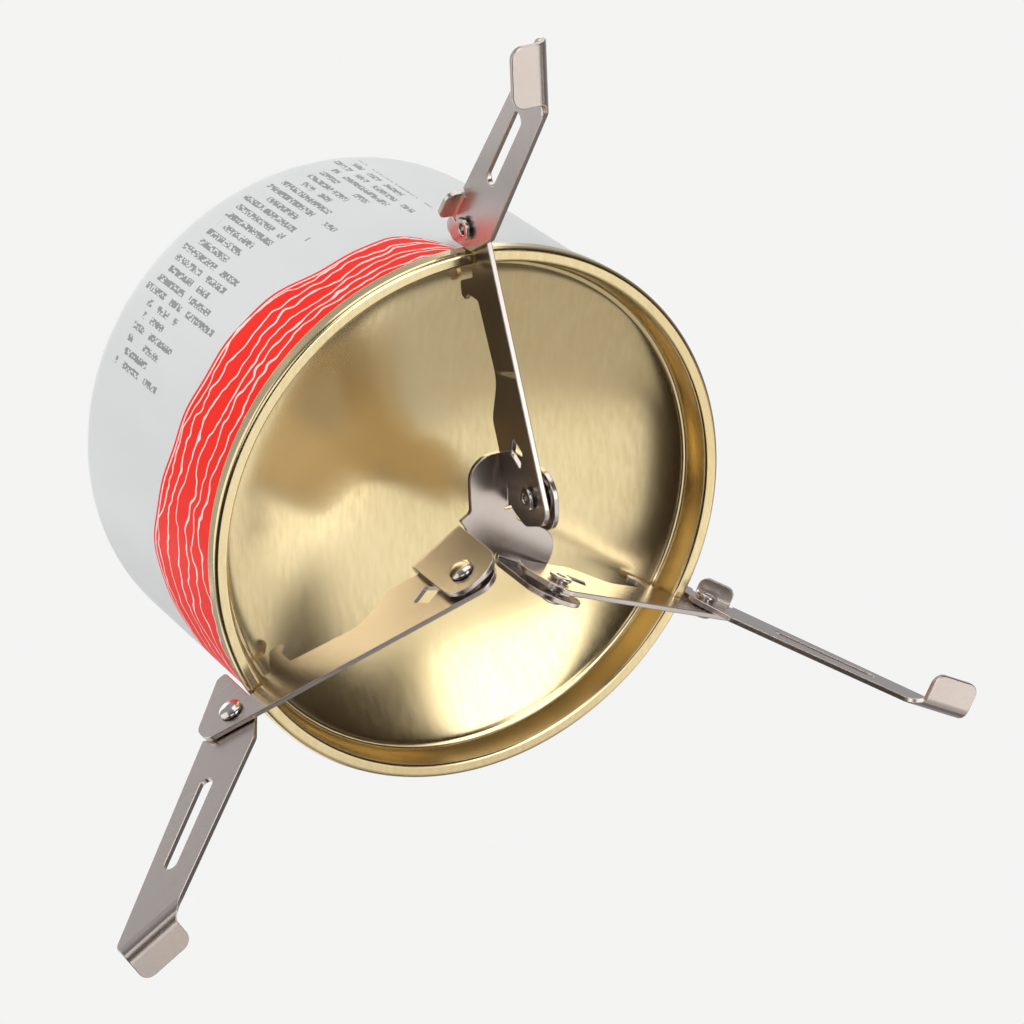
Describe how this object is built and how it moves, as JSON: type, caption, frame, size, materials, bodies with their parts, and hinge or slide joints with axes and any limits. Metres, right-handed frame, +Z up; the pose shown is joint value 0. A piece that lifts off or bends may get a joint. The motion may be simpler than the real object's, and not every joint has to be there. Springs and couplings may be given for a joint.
{
  "type": "gas canister on folding stand",
  "caption": "Screw-valve camping gas canister with a domed base, standing on a clip-on stand of riveted stainless arms and folding feet.",
  "frame": {"origin": "centre of the hub bracket's flat underside, on the canister's axis", "axes": "+Z up along the canister's axis; -Y out along leg 1; legs 2 and 3 follow counter-clockwise seen from above, 120 degrees apart"},
  "size_m": [0.1869, 0.1631, 0.1249],
  "materials": {
    "printed_tinplate": "grey-white print with a red wavy band, under clear varnish",
    "lacquered_tinplate": "transparent gold lacquer over bright tinplate, faint rolling grain",
    "bare_tinplate": "bright pressed tinplate",
    "collar_brass": "turned, with a cut thread",
    "seal_rubber": "matt black",
    "valve_plastic": "moulded off-white",
    "spring_steel": "drawn wire",
    "stand_stainless": "satin stainless sheet with bright sheared edges",
    "rivet_steel": "polished rivet steel"
  },
  "bodies": {
    "hub": {"hub_bracket": "stand_stainless", "hub_rivet_1": "rivet_steel", "hub_rivet_2": "rivet_steel", "hub_rivet_3": "rivet_steel", "hub_washer_1": "rivet_steel", "hub_washer_2": "rivet_steel", "hub_washer_3": "rivet_steel"},
    "arm_1": {"arm_blade_1": "stand_stainless", "foot_rivet_1": "rivet_steel"},
    "arm_2": {"arm_blade_2": "stand_stainless", "foot_rivet_2": "rivet_steel"},
    "arm_3": {"arm_blade_3": "stand_stainless", "foot_rivet_3": "rivet_steel"},
    "foot_1": {"foot_strip_1": "stand_stainless"},
    "foot_2": {"foot_strip_2": "stand_stainless"},
    "foot_3": {"foot_strip_3": "stand_stainless"},
    "canister": {"can_body": "printed_tinplate", "base_end": "lacquered_tinplate", "cup_seal": "seal_rubber", "valve_cup": "bare_tinplate", "threaded_collar": "collar_brass", "stem_seal": "seal_rubber", "valve_housing": "valve_plastic", "valve_spring": "spring_steel"},
    "valve_plunger": {"valve_stem": "valve_plastic"}
  },
  "joints": [
    {"name": "arm_fold_1", "type": "hinge", "parent": "hub", "child": "arm_1", "pos_m": [0, -0.011, -0.0122], "axis": [1, 0, 0], "range_deg": [0, 78]},
    {"name": "arm_fold_2", "type": "hinge", "parent": "hub", "child": "arm_2", "pos_m": [0.00953, 0.0055, -0.0122], "axis": [-0.5, 0.866, 0], "range_deg": [0, 78]},
    {"name": "arm_fold_3", "type": "hinge", "parent": "hub", "child": "arm_3", "pos_m": [-0.00953, 0.0055, -0.0122], "axis": [-0.5, -0.866, 0], "range_deg": [0, 78]},
    {"name": "foot_fold_1", "type": "hinge", "parent": "arm_1", "child": "foot_1", "pos_m": [0, -0.0599, 0.0064], "axis": [-1, 0, 0], "range_deg": [-62, 0]},
    {"name": "foot_fold_2", "type": "hinge", "parent": "arm_2", "child": "foot_2", "pos_m": [0.05187, 0.02995, 0.0064], "axis": [0.5, -0.866, 0], "range_deg": [-62, 0]},
    {"name": "foot_fold_3", "type": "hinge", "parent": "arm_3", "child": "foot_3", "pos_m": [-0.05187, 0.02995, 0.0064], "axis": [0.5, 0.866, 0], "range_deg": [-62, 0]},
    {"name": "canister_lift", "type": "slide", "parent": "hub", "child": "canister", "axis": [0, 0, 1], "range_m": [0, 0.08]},
    {"name": "valve_press", "type": "slide", "parent": "canister", "child": "valve_plunger", "axis": [0, 0, -1], "range_m": [0, 0.002], "stiffness_N_per_m": 1500, "springref_m": -0.001, "deforming": ["valve_spring"]}
  ]
}
